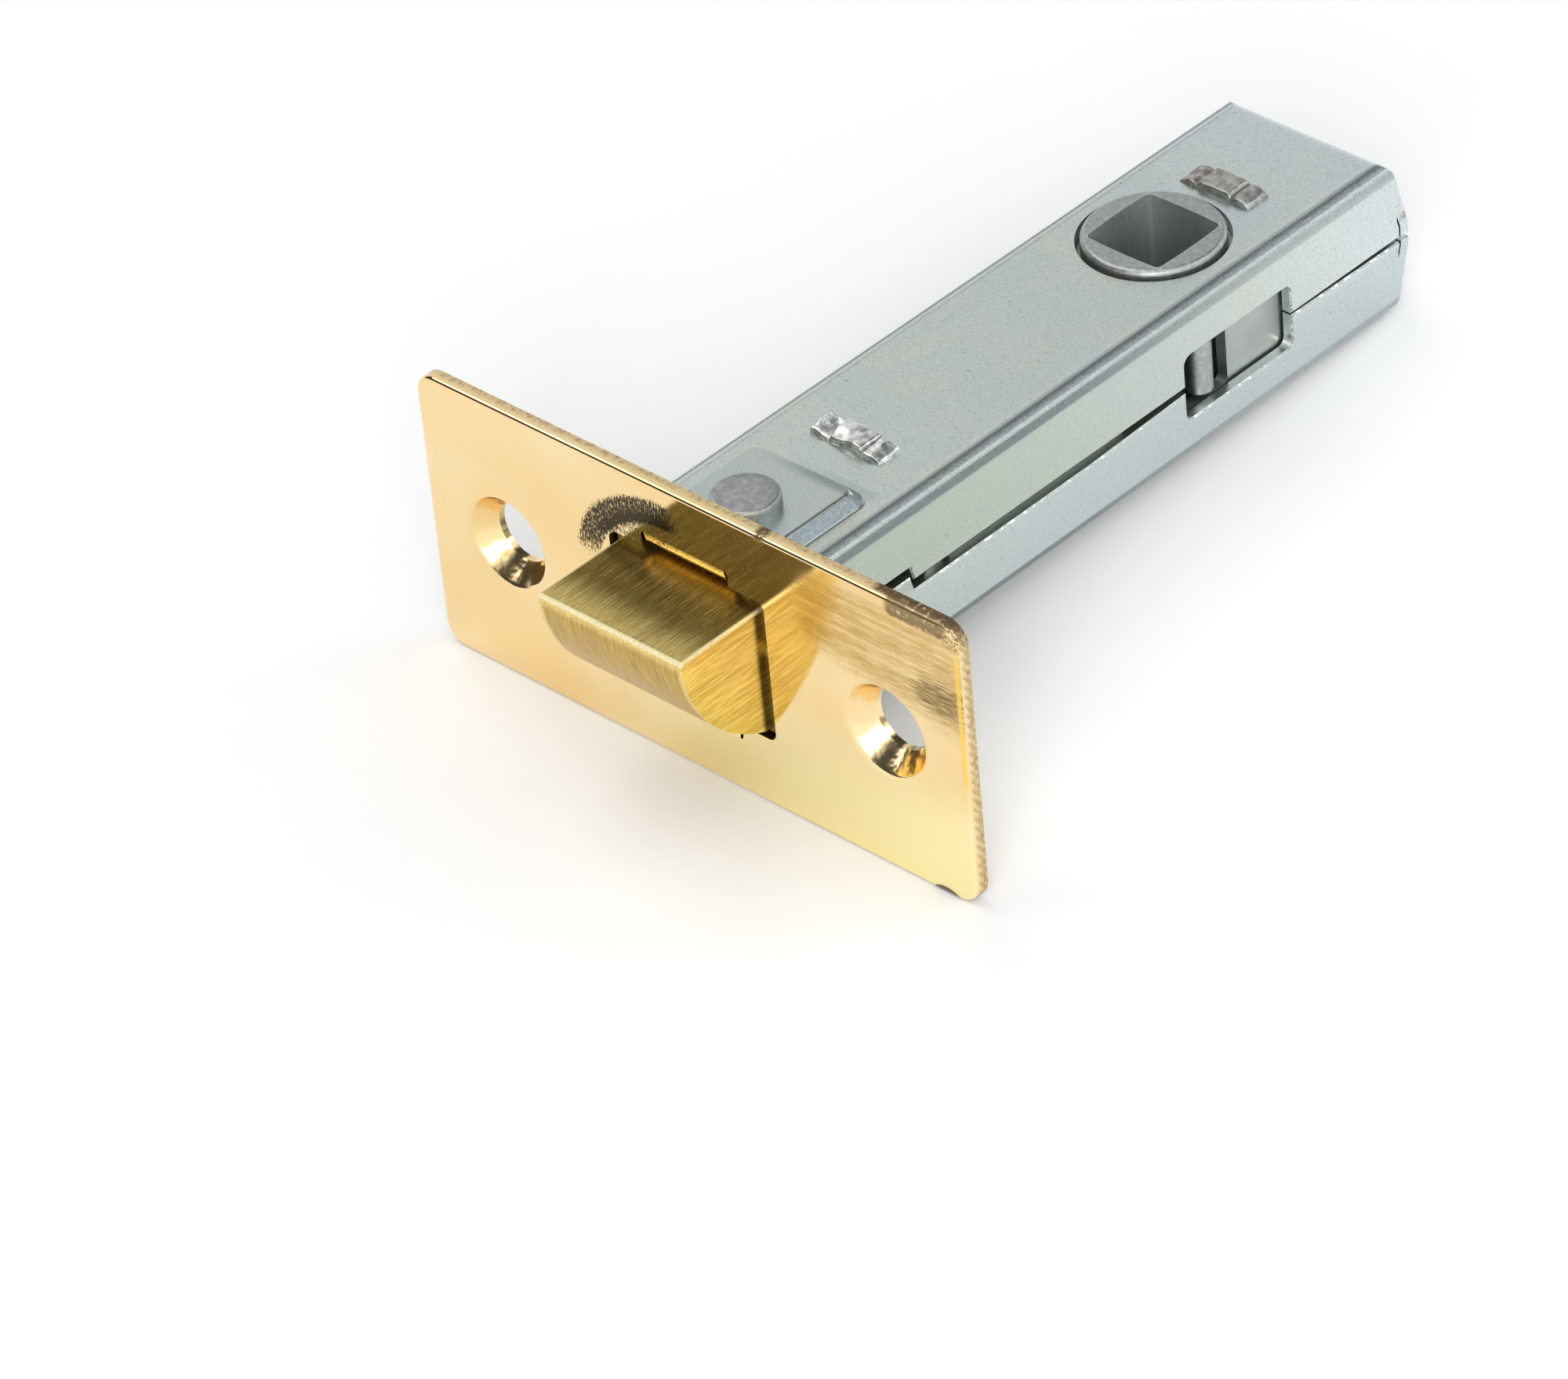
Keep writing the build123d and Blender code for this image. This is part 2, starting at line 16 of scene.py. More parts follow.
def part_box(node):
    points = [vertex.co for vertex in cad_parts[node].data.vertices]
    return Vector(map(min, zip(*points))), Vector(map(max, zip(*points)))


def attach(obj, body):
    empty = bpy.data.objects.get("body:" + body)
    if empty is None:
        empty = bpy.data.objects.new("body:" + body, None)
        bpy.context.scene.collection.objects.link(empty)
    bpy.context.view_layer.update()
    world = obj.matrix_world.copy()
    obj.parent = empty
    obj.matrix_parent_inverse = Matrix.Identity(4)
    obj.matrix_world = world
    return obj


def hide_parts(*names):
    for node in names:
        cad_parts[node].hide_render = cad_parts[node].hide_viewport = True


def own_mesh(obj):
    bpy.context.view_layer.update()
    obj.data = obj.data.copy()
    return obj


MM = 0.001
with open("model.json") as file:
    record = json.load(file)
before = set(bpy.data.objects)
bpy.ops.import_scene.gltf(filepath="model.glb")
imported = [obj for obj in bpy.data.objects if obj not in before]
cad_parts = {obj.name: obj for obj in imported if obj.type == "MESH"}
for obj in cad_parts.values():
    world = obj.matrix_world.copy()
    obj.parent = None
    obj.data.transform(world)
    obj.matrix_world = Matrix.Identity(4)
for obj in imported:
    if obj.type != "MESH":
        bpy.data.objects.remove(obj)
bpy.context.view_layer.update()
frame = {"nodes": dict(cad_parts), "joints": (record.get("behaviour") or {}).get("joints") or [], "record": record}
print("nodes:", sorted(frame["nodes"]))

# %% [markdown]
# ## A pen for shader maths
# A material is a graph of nodes, and most of the graph is arithmetic on masks. Wrapping a socket in
# a small class lets that arithmetic be written as plain expressions, in both orders of its operands.

# %% Wrap a socket


class Value:
    """A number that varies over a surface: one output socket of a material's nodes."""

    def __init__(self, tree, socket):
        self.tree = tree
        self.socket = socket

    def math(self, operation, *others):
        node = self.tree.nodes.new("ShaderNodeMath")
        node.operation = operation
        for index, item in enumerate((self, *others)):
            if isinstance(item, Value):
                self.tree.links.new(item.socket, node.inputs[index])
            else:
                node.inputs[index].default_value = item
        return Value(self.tree, node.outputs[0])

    def __add__(self, other):
        return self.math("ADD", other)

    def __sub__(self, other):
        return self.math("SUBTRACT", other)

    def __mul__(self, other):
        return self.math("MULTIPLY", other)

    def __rsub__(self, other):
        return self.math("MULTIPLY", -1.0).math("ADD", other)

    __radd__ = __add__
    __rmul__ = __mul__

    def absolute(self):
        return self.math("ABSOLUTE")

    def larger(self, other):
        return self.math("MAXIMUM", other)

    def smaller(self, other):
        return self.math("MINIMUM", other)

    def step(self, low, high):
        """Rise smoothly from 0 at low to 1 at high. Low above high gives the falling step."""
        node = self.tree.nodes.new("ShaderNodeMapRange")
        node.interpolation_type = "SMOOTHSTEP"
        self.tree.links.new(self.socket, node.inputs["Value"])
        falling = low > high
        node.inputs["From Min"].default_value = min(low, high)
        node.inputs["From Max"].default_value = max(low, high)
        node.inputs["To Min"].default_value = 1.0 if falling else 0.0
        node.inputs["To Max"].default_value = 0.0 if falling else 1.0
        return Value(self.tree, node.outputs["Result"])

    def band(self, low, high, soft):
        """Be 1 between low and high, with soft ends."""
        return self.step(low - soft, low) * self.step(high + soft, high)


print("a value can", [word for word in vars(Value) if not word.startswith("_")])

# %% [markdown]
# ## A graph of nodes
# Any node that isn't plain maths is made in one place, from its type, its settings and what its
# inputs take. An input takes a number, a colour or a link from a value made before.

# %% Make any other node


class Graph:
    """A tree of shader nodes under construction."""

    def __init__(self, tree):
        self.tree = tree

    def node(self, kind, settings, inputs, output):
        """Make a node, set it up, feed its inputs with values or links, and return one output."""
        node = self.tree.nodes.new(kind)
        for setting, value in settings.items():
            setattr(node, setting, value)
        for key, value in inputs.items():
            if isinstance(value, Value):
                self.tree.links.new(value.socket, node.inputs[key])
            else:
                node.inputs[key].default_value = value
        return Value(self.tree, node.outputs[output])


def opaque(colour):
    """Add full opacity to a plain colour and leave a link as it is."""
    return colour if isinstance(colour, Value) else (*colour, 1)


print("a plain colour gets its opacity:", opaque((0.5, 0.5, 0.5)))

# %% [markdown]
# ## A finish and its surface
# Every finish here is one metal. It starts from two tones, gets its marks laid over them one by one
# as masks of the place in millimetres, and ends with a roughness and a fine relief. The patterns read
# object coordinates, so they stay on the metal when a piece moves.

# %% Open a material


class Finish(Graph):
    """One material under construction, with its coordinates in millimetres."""

    def __init__(self, name):
        self.material = bpy.data.materials.new(name)
        self.material.use_nodes = True
        super().__init__(self.material.node_tree)
        self.shader = self.tree.nodes["Principled BSDF"]
        place = self.node("ShaderNodeTexCoord", {}, {}, "Object")
        scale = {0: place, "Scale": 1 / MM}
        self.place = self.node("ShaderNodeVectorMath", {"operation": "SCALE"}, scale, "Vector")
        self.x, self.y, self.z = [
            self.node("ShaderNodeSeparateXYZ", {}, {"Vector": self.place}, axis) for axis in "XYZ"
        ]
        self.beside = self.x.absolute()
        self.away = self.z.absolute()

    def grain(self, size, detail=2.0, rough=0.5, shift=0.0):
        """Give soft noise from 0 to 1 with features of a size in millimetres, or one per axis."""
        size = (size, size, size) if isinstance(size, (int, float)) else size
        kind = "ShaderNodeVectorMath"
        place = self.node(kind, {"operation": "DIVIDE"}, {0: self.place, 1: size}, "Vector")
        if shift:
            moved = {0: place, 1: (shift, shift, shift)}
            place = self.node(kind, {"operation": "ADD"}, moved, "Vector")
        inputs = {"Vector": place, "Scale": 1.0, "Detail": detail, "Roughness": rough}
        return self.node("ShaderNodeTexNoise", {}, inputs, "Fac")

    def reach(self, across, along):
        """Give how far a place is from a centre, from its two offsets."""
        return (across * across + along * along).math("SQRT")

    def spot(self, centre, size):
        """Be 1 at a point given by x and z, and fade to 0 at an ellipse around it."""
        across = (self.x - centre[0]) * (1 / size[0])
        along = (self.z - centre[1]) * (1 / size[1])
        return self.reach(across, along).step(1.0, 0.35)

    def blend(self, first, second, factor):
        """Mix two colours by a factor."""
        inputs = {0: factor, 6: opaque(first), 7: opaque(second)}
        return self.node("ShaderNodeMix", {"data_type": "RGBA"}, inputs, 2)

    def begin(self, first, second, factor):
        """Start the tint from two tones."""
        self.tint = self.blend(first, second, factor)

    def lay(self, colour, mask):
        """Lay a colour over the tint where a mask is."""
        self.tint = self.blend(self.tint, colour, mask)

    def wear(self, roughness, relief, depth):
        """Feed tint, roughness and relief into the shader, and give the material."""
        inputs = {"Height": relief, "Strength": 1.0, "Distance": depth * MM}
        normal = self.node("ShaderNodeBump", {}, inputs, "Normal")
        fed = {"Base Color": self.tint, "Roughness": roughness, "Normal": normal}
        for socket, value in fed.items():
            self.tree.links.new(value.socket, self.shader.inputs[socket])
        self.shader.inputs["Metallic"].default_value = 1.0
        return self.material


finishes = {}


def keep(slot, material):
    """Keep a material under the name of its slot."""
    finishes[slot] = material
    print(slot, "takes", len(material.node_tree.nodes), "nodes")


print("a finish can", [word for word in vars(Finish) if not word.startswith("_")])

# %% [markdown]
# ## Places on the latch
# The marks sit at real places, so the places are named once. X runs along the forend, Y from its
# front face back into the door, and Z up. All are in millimetres from the middle of that face.

# %% Name the places
PLATE_END = 29.75
PLATE_EDGE = 13.6
PLATE_BACK = 1.3
SCREW_X = 21.0
DISH_RADIUS = 4.3
BOLT_SIDE = 7.9
BOLT_TOP = 6.0
BOLT_NOSE = -8.9
CASE_SIDE = 9.15
CASE_TOP = 7.5
CASE_REAR = 78.8
PAD_TOP = 8.6
RIVET_Y = 7.35
RIVET_RADIUS = 2.95
HUB_Y = 57.0
HUB_HOLE = 4.0
print("case", 2 * CASE_SIDE, "wide,", 2 * CASE_TOP, "high, to", CASE_REAR, "mm behind the front")

# %% [markdown]
# ## Zinc plate: broad tones
# The two shells are pressed from zinc-plated sheet: pale grey with faint blue, green and straw
# clouds. Metals have no diffuse colour, so the clouds go into the colour of the reflection. Painted
# shade darkens and greens the sides towards the front; a painted floor reflection blues the lower side.

# %% Lay the zinc's tones


def zinc_tones(finish, side):
    """Lay pale clouds, a cooler rear, painted shade on the sides and a painted floor reflection low on them."""
    clouds = finish.grain(8.0, 3.0, 0.55)
    finish.begin((0.635, 0.695, 0.665), (0.675, 0.71, 0.64), clouds.step(0.38, 0.68))
    blue = finish.grain((6.0, 12.0, 5.0), 2.0, 0.5, 31.0).step(0.50, 0.72)
    finish.lay((0.60, 0.69, 0.72), blue * 0.5)
    finish.lay((0.71, 0.79, 0.81), finish.y.step(52.0, 76.0) * 0.6)
    # Painted shade: the sides darker and greener towards the front.
    painted_side_shade = side * finish.y.step(76.0, 8.0)
    finish.lay((0.43, 0.49, 0.41), painted_side_shade * 0.8)
    # Painted reflection of the floor: the lower half's side laid in a bluer grey.
    lower_side_floor_reflection = side * finish.z.step(-0.4, -1.4)
    finish.lay((0.575, 0.645, 0.655), lower_side_floor_reflection * 0.85)


print("the lower half's side starts 0.4 mm below the middle")

# %% [markdown]
# ## Zinc plate: grain and stains
# Close up, the plate is a fine dark and pale grain with a few specks, and the sides have short
# upright drips. The rear corner is stained brown, and where the sheet was cut there is a dark burr.
# Each is noise of its own size, cut to a mask where it belongs.

# %% Lay the zinc's marks


def zinc_grain(finish):
    """Lay the dark grain, the pale grain and the specks, and give the dark grain."""
    grain = finish.grain(0.24, 3.0, 0.75)
    finish.lay((0.40, 0.43, 0.42), grain.step(0.46, 0.72) * 0.6)
    pale = finish.grain(0.20, 2.0, 0.7, 17.0).step(0.58, 0.78)
    finish.lay((0.86, 0.90, 0.89), pale * 0.5)
    specks = finish.grain(0.55, 1.0, 0.5, 7.0).step(0.76, 0.80)
    finish.lay((0.20, 0.20, 0.18), specks * 0.55)
    return grain


def zinc_stains(finish, side):
    """Lay the drips, the brown stains of the rear corner and the burr, and give the drips."""
    drips = finish.grain((1.0, 0.35, 5.0), 3.0, 0.6, 23.0).step(0.56, 0.75) * side
    finish.lay((0.50, 0.53, 0.52), drips * 0.35)
    rear_edge = finish.y.step(CASE_REAR - 1.9, CASE_REAR - 1.1) * finish.z.step(6.0, 7.2)
    rear_side = side * finish.y.step(CASE_REAR - 3.8, CASE_REAR - 1.8)
    rear_side = rear_side * finish.z.band(0.6, 4.0, 1.0)
    stain = finish.grain(1.1, 3.0, 0.6, 3.0)
    brown = stain.step(0.40, 0.62) * rear_edge * 0.55 + stain.step(0.60, 0.70) * rear_side * 0.6
    finish.lay((0.27, 0.22, 0.17), brown)
    cut = finish.beside.band(CASE_SIDE - 0.13, CASE_SIDE - 0.02, 0.02) * finish.away.step(5.6, 5.2)
    burr = cut * finish.grain((0.4, 0.7, 0.4), 2.0, 0.6, 37.0).step(0.62, 0.50)
    finish.lay((0.20, 0.22, 0.22), burr * 0.75)
    return drips


print("grain of 0.24 mm, specks of 0.55 mm, stains of 1.1 mm")

# %% [markdown]
# ## Zinc plate: folds and pads
# Where the sheet was folded, the plate is grainy and a little duller, and painted shade gives each
# bend two dark lines with a paler one between. The value around grows round the bend, from its top
# line to its side line. The pads over the ears are pressed up, and painted shade darkens their slopes.

# %% Paint shade on the folds


def zinc_folds(finish, grain):
    """Lay painted shade on the long bends, two dark lines with a grey between, and give the bends."""
    bend = finish.beside.step(7.4, 7.9) * finish.away.step(5.6, 6.2)
    around = finish.beside - finish.away
    top_line = around.band(0.70, 1.52, 0.15)
    side_line = around.band(2.20, 3.00, 0.15) * finish.y.step(62.0, 30.0)
    # Painted shade: two dark lines and a grey between them round each bend, broken by the grain.
    painted_bend_shade = top_line * 0.45 + side_line * 0.45 + around.band(0.70, 3.00, 0.3) * 0.38
    finish.lay((0.17, 0.20, 0.215), painted_bend_shade * bend * (0.62 + grain * 0.7))
    return bend


def zinc_pads(finish, grain):
    """Lay painted shade on the pads' slopes, a darker tone on their tops, and painted shade at their rear."""
    slope = finish.beside.band(5.55, 6.4, 0.1) * finish.y.step(15.2, 15.0)
    slope = slope.larger(finish.y.band(14.1, 15.0, 0.1) * finish.beside.step(6.6, 6.4))
    slope = slope * finish.away.band(CASE_TOP + 0.12, PAD_TOP - 0.15, 0.08)
    # Painted shade on the pads' slopes.
    finish.lay((0.14, 0.175, 0.20), slope * (0.62 + grain * 0.5))
    pad = finish.away.step(PAD_TOP - 0.15, PAD_TOP - 0.02)
    finish.lay((0.40, 0.46, 0.45), pad * 0.35)
    # Painted shade on the rear of each pad's top.
    painted_pad_rear_shade = finish.y.step(12.6, 13.9) * finish.x.step(-5.0, 3.0) * pad
    finish.lay((0.20, 0.24, 0.25), painted_pad_rear_shade * 0.7)
    # Painted shade on the case just behind each pad.
    painted_shade_behind_pad = finish.y.band(15.0, 15.7, 0.5) * finish.x.step(-4.0, 4.0) * finish.x.step(7.2, 6.0)
    painted_shade_behind_pad = painted_shade_behind_pad * finish.away.band(CASE_TOP - 0.2, CASE_TOP + 0.2, 0.1)
    finish.lay((0.36, 0.42, 0.43), painted_shade_behind_pad * 0.4)


def zinc_plate():
    """Make the case's zinc plate from its tones, marks and folds, with scuffs along the case."""
    finish = Finish("zinc_plate")
    side = finish.beside.step(CASE_SIDE - 0.15, CASE_SIDE - 0.03)
    zinc_tones(finish, side)
    grain = zinc_grain(finish)
    drips = zinc_stains(finish, side)
    bend = zinc_folds(finish, grain)
    zinc_pads(finish, grain)
    scuffs = finish.grain((0.4, 7.0, 0.4), 2.0, 0.6, 11.0).step(0.5, 0.8)
    rough = 0.27 + grain * 0.08 + scuffs * 0.06 + bend * 0.04
    relief = grain * (0.4 + bend * 5.0) + scuffs * 0.25 + drips * 0.2
    return finish.wear(rough, relief, 0.010)


keep("zinc_plated_case", zinc_plate())

# %% [markdown]
# ## Brassed plate: polish and brush marks
# The forend is steel with a thin, bright brass plating, polished before it was plated. It mirrors
# what stands before it, so its roughness is low. One corner has brush lines along the plate, which
# end in a dark knot near the edge. Thin noise, wide along the plate and narrow across it, makes
# them, because brush lines are long and close together.

# %% Polish and brush the plate


def polished_tones(finish, face):
    """Start the plate from two brasses, with painted light making it paler and yellower to the lower right."""
    drift = finish.grain((14.0, 30.0, 10.0), 2.0, 0.5).step(0.35, 0.75)
    finish.begin((0.93, 0.69, 0.34), (0.96, 0.76, 0.45), drift)
    # Painted light: the plate paler and yellower towards the lower right.
    painted_light_lower_right = finish.z.step(1.0, -9.0) * finish.x.step(-16.0, 12.0) * face
    finish.lay((1.0, 0.90, 0.50), painted_light_lower_right * 0.85)


def brush_corner(finish, face):
    """Lay the brushed corner and its dark knot, and give the brush marks and their relief."""
    fine = finish.grain((1.8, 1.0, 0.09), 3.0, 0.65, 5.0)
    broad = finish.grain((9.0, 4.0, 0.6), 2.0, 0.5, 9.0).step(0.35, 0.62)
    ragged = finish.grain(1.3, 3.0, 0.6, 41.0)
    border = finish.z + finish.x * 0.18 + ragged * 3.0
    swept = border.step(8.2, 11.0) * finish.x.step(10.5, 14.0) * finish.z.step(14.0, 11.0) * face
    brushed = swept * (fine.step(0.35, 0.62) * 0.6 + broad * 0.4)
    finish.lay((0.49, 0.30, 0.055), brushed * 0.82)
    knot = (finish.spot((27.6, 6.0), (5.2, 2.8)) + (fine - 0.5) * 3.0).step(0.45, 1.15) * face
    knot = knot * finish.spot((27.6, 6.0), (6.0, 3.4))
    finish.lay((0.13, 0.085, 0.015), knot * 0.75)
    return brushed, fine * swept


print("brush lines 0.09 mm thick and 1.8 mm long")

# %% [markdown]
# ## Brassed plate: smudge and fog
# A dark, speckled arch lies over the bolt's upper left corner. It is a ring around a centre near
# that corner, broken up by speckle: the mask is raised by the noise before it is cut to black and
# bare, so the ring is solid in its middle and crumbles at its borders. Faint fog dims the rest.

# %% Smudge the plate
SMUDGE_LEFT = 2.0
SMUDGE_UP = 3.0
SMUDGE_WIDTH = 1.15


def smudge_arch(finish, face):
    """Lay the speckled dark arch and give its mask."""
    speckle = finish.grain((0.15, 0.2, 0.42), 2.0, 0.65, 53.0)
    across = (finish.x + SMUDGE_LEFT) * (1 / SMUDGE_WIDTH)
    radius = finish.reach(across, finish.z - SMUDGE_UP)
    inner = radius.step(8.2, 6.2) * finish.z.step(5.6, 7.4)
    arch = radius.band(7.1, 8.6, 0.9) + inner * 0.62
    arch = arch * finish.x.step(1.5, -2.5) * finish.z.step(2.0, 5.5)
    smudge = (arch * 1.5 + (speckle - 0.5) * 3.8).step(0.62, 1.55) * face * arch.step(0.05, 0.4)
    finish.lay((0.03, 0.02, 0.008), smudge * 0.975)
    return smudge


def fog_over(finish, face):
    """Lay the faint fog and give its mask."""
    fog = finish.grain(0.9, 3.0, 0.6, 61.0).step(0.58, 0.78) * face
    finish.lay((0.72, 0.52, 0.27), fog * 0.16)
    return fog


print("smudge arches", SMUDGE_LEFT, "mm left and", SMUDGE_UP, "mm up from the middle")

# %% [markdown]
# ## Brassed plate: edges
# The plate was sheared, so the rear half of its edge is rough and dull, and its right edge has two
# rows of slanted shear marks. Tarnish has eaten the upper right edge, and a chip of plating is gone
# at the lower right. Noise cuts the borders of each patch so that they look eaten and not drawn.

# %% Wear the edges


def tarnish_edges(finish, crust, rear, edge):
    """Lay the dull rear of the rim, the tarnish and the chip, and give the bare mask."""
    patch_edge = finish.x.band(21.0, 29.0, 0.9) * edge
    patch_face = finish.x.band(22.6, 28.0, 0.8) * (finish.z + crust * 1.2).step(12.6, 13.0)
    patch_small = finish.spot((8.6, 13.7), (0.9, 0.8))
    chip = finish.spot((26.4, -13.8), (1.9, 1.0))
    bare = (patch_edge + patch_face * 0.8 + patch_small).smaller(1.0) * crust.step(0.30, 0.46)
    bare = bare.larger(chip.step(0.1, 0.4))
    rim_tint = finish.blend((0.78, 0.60, 0.33), (0.40, 0.29, 0.14), crust.step(0.42, 0.66))
    finish.lay(rim_tint, rear * 0.9)
    finish.lay((0.11, 0.065, 0.04), bare * 0.88)
    return bare


def glitter_corner(finish):
    """Lay the pitted, glittering upper right corner and give its mask."""
    corner = finish.spot((29.2, 12.9), (1.8, 1.8))
    glitter = corner * finish.grain(0.28, 2.0, 0.7, 71.0).step(0.50, 0.56)
    finish.lay((0.22, 0.14, 0.07), glitter * 0.8)
    return glitter


def shear_marks(finish):
    """Lay the slanted rows on the right edge and a painted golden highlight before them, and give the rows."""
    slant = (finish.z * 0.80 + finish.y * 0.9).math("MULTIPLY", 8.5).math("SINE")
    rows = (finish.y - 0.78).absolute().step(0.02, 0.08)
    knurl = slant.step(-0.3, 0.7) * finish.x.step(PLATE_END - 0.3, PLATE_END - 0.05)
    knurl = knurl * finish.y.step(0.30, 0.42) * rows
    finish.lay((0.50, 0.36, 0.17), knurl * 0.6)
    # Painted highlight: a golden line along the rolled right edge.
    painted_roll_highlight = finish.x.band(PLATE_END - 0.45, PLATE_END - 0.15, 0.08) * finish.z.band(-1.0, 10.5, 1.5)
    painted_roll_highlight = painted_roll_highlight * finish.y.step(0.42, 0.32)
    finish.lay((1.0, 0.66, 0.10), painted_roll_highlight * 0.8)
    return knurl


def brassed_plate():
    """Make the forend's plating from its polish, brush marks, smudge and worn edges."""
    finish = Finish("brassed_plate")
    face = finish.y.step(0.30, 0.04)
    ends = finish.beside.step(PLATE_END - 0.85, PLATE_END - 0.45)
    rim = ends.larger(finish.away.step(PLATE_EDGE - 0.9, PLATE_EDGE - 0.5))
    edge = finish.y.step(0.34, 0.50) * rim
    rear = finish.y.step(0.45, PLATE_BACK - 0.35) * rim
    crust = finish.grain((0.45, 0.6, 0.45), 3.0, 0.75, 13.0)
    polished_tones(finish, face)
    brushed, brush_relief = brush_corner(finish, face)
    smudge = smudge_arch(finish, face)
    fog = fog_over(finish, face)
    bare = tarnish_edges(finish, crust, rear, edge)
    glitter = glitter_corner(finish)
    knurl = shear_marks(finish)
    dish = finish.reach(finish.beside - SCREW_X, finish.z)
    dish = dish.step(DISH_RADIUS + 0.2, DISH_RADIUS - 0.1)
    dents = finish.grain(1.6, 2.0, 0.5, 91.0)
    grain = finish.grain(0.45, 2.0, 0.5)
    rough = 0.085 + grain * 0.03 + brushed * 0.16 + smudge * 0.22 + bare * 0.40 + fog * 0.05
    rough = rough + rear * crust * 0.45 + dish * 0.07
    relief = grain * 0.10 + brush_relief * 0.5 + bare * crust * 2.0
    relief = relief + rear * crust * 2.2 + knurl * 3.0 + glitter * 3.5 + dish * dents * 9.0
    return finish.wear(rough, relief, 0.012)


keep("brassed_plate", brassed_plate())

# %% [markdown]
# ## Brushed brass on the bolt
# The bolt is solid brass, drawn and lightly brushed along its length. Noise that is long in Y and
# short across it gives the brush lines, and on the bevel, which was milled, they run the other way.
# The bevel is laid darker and more orange, partly its milled tone and partly painted shade. The nose's
# edges carry a painted highlight: nearly white, speckled and rougher.

# %% Brush the brass


def solid_brass():
    """Make the bolt's brass with its brush lines, a bevel darkened partly by painted shade, nicks and painted
    highlights on the nose's edges.
    """
    finish = Finish("solid_brass")
    lines = finish.grain((0.15, 4.0, 0.15), 4.0, 0.75)
    wide = finish.grain((0.8, 9.0, 0.8), 2.0, 0.5, 4.0)
    finish.begin((0.66, 0.475, 0.12), (0.97, 0.79, 0.33), lines.step(0.40, 0.60))
    finish.lay((0.52, 0.37, 0.10), wide.step(0.52, 0.78) * 0.5)
    cross = finish.grain((0.11, 2.5, 2.5), 3.0, 0.7, 19.0).step(0.42, 0.68)
    low = finish.z.step(BOLT_TOP - 0.4, BOLT_TOP - 1.4)
    low = low * finish.beside.step(BOLT_SIDE - 0.2, BOLT_SIDE - 0.6)
    # Partly painted shade: the bevel laid darker and more orange, over its milled tone.
    finish.lay((0.60, 0.37, 0.07), low * 0.8)
    finish.lay((0.26, 0.17, 0.05), cross * low * 0.7)
    nicks = finish.grain((0.9, 0.16, 0.16), 2.0, 0.6, 29.0).step(0.70, 0.78)
    finish.lay((0.95, 0.85, 0.60), nicks * 0.25)
    top_edge = finish.y.step(BOLT_NOSE + 0.40, BOLT_NOSE + 0.18)
    top_edge = top_edge * finish.z.step(BOLT_TOP - 0.50, BOLT_TOP - 0.28)
    side_edge = finish.beside.step(BOLT_SIDE - 0.35, BOLT_SIDE - 0.18)
    side_edge = side_edge * finish.z.step(BOLT_TOP - 0.34, BOLT_TOP - 0.18)
    # Painted highlight: the nose's top and side edges nearly white and speckled.
    painted_edge_glint = top_edge.larger(side_edge * 0.8)
    sparkle = finish.grain(0.24, 2.0, 0.7, 83.0)
    finish.lay((1.0, 0.94, 0.66), painted_edge_glint * (0.55 + sparkle.step(0.35, 0.60) * 0.45))
    rough = 0.19 + lines * 0.13 + low * 0.06 + painted_edge_glint * 0.42
    relief = lines * 1.2 + wide * 0.2 + cross * low * 0.9 - nicks * 0.3 + painted_edge_glint * sparkle * 2.0
    return finish.wear(rough, relief, 0.012)


keep("solid_brass", solid_brass())

# %% [markdown]
# ## Plain steel and spring wire
# The pieces inside are plain pressed and turned steel with a film of oil. Only slow clouds and fine
# drawing lines show on them. The spring's wire is darker, and the oil gathers on it in short spots.

# %% Oil the inner steel


def inner_steel():
    """Make the plain oiled steel of the arms, the tail and their pin."""
    finish = Finish("inner_steel")
    clouds = finish.grain(4.0, 2.0, 0.5)
    finish.begin((0.42, 0.455, 0.45), (0.49, 0.51, 0.48), clouds.step(0.35, 0.7))
    lines = finish.grain((0.15, 5.0, 0.15), 3.0, 0.6)
    return finish.wear(0.34 + lines * 0.15, lines + clouds * 0.2, 0.01)


def spring_steel():
    """Make the dark drawn wire of the spring."""
    finish = Finish("spring_steel")
    oil = finish.grain(1.2, 2.0, 0.5)
    finish.begin((0.26, 0.26, 0.27), (0.38, 0.37, 0.36), oil.step(0.3, 0.7))
    return finish.wear(0.28 + oil * 0.15, oil, 0.01)


keep("inner_steel", inner_steel())
keep("spring_steel", spring_steel())

# %% [markdown]
# ## Cast hub, staked posts and rivets
# The hub is a grey casting with a slightly pebbly skin, paler and duller inside its square hole. The
# staked ends are steel that a punch has flattened, and the rear one has rusted on its left. The
# rivets' plate is duller than the case's, and painted shade darkens their heads towards their rear rim.

# %% Cast, hammer and rivet


def zinc_casting():
    """Make the hub's grey cast skin with its paler square hole."""
    finish = Finish("zinc_casting")
    pebble = finish.grain(0.45, 3.0, 0.6)
    finish.begin((0.37, 0.395, 0.38), (0.48, 0.505, 0.49), pebble.step(0.35, 0.7))
    along = (finish.y - HUB_Y).absolute()
    hole = finish.beside.step(HUB_HOLE + 0.3, HUB_HOLE) * along.step(HUB_HOLE + 0.3, HUB_HOLE)
    finish.lay((0.54, 0.59, 0.585), hole * 0.7)
    rough = 0.36 + pebble * 0.15 + hole * 0.2
    return finish.wear(rough, pebble, 0.03)


